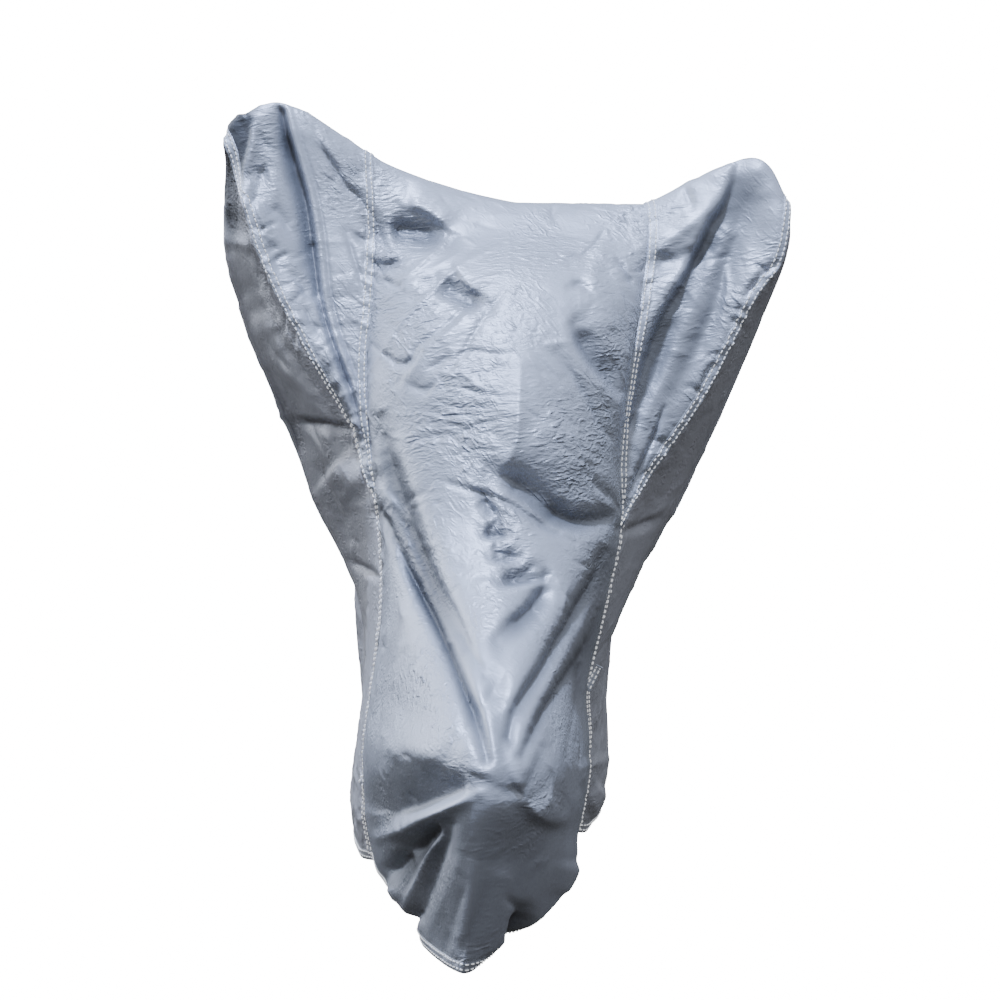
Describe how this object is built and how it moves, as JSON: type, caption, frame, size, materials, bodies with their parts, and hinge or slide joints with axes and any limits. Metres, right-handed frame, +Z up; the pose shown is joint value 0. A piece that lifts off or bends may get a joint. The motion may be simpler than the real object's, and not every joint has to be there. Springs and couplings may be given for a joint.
{
  "type": "motorcycle cover",
  "caption": "Silver-grey coated cloth cover draped over a leaning motorcycle, open below, with pointed gussets over the handlebar grips, felled seams and a strap loop.",
  "frame": {"origin": "underside of the cloth over the handlebar clamp, where the covered machine carries the cover", "axes": "+Z up from the ground, -Y towards the front wheel end, +X to the right of someone who faces that end"},
  "size_m": [0.8594, 2.1525, 1.1547],
  "materials": {
    "silver_coated_cloth": "satin metallic coating",
    "grey_coated_cloth": "satin metallic coating",
    "strap_webbing": "matt woven"
  },
  "bodies": {
    "root": {"centre_panel": "silver_coated_cloth", "left_handlebar_gusset": "silver_coated_cloth", "right_handlebar_gusset": "silver_coated_cloth", "left_side_panel": "grey_coated_cloth", "right_side_panel": "grey_coated_cloth", "strap_loop": "strap_webbing"}
  },
  "joints": []
}
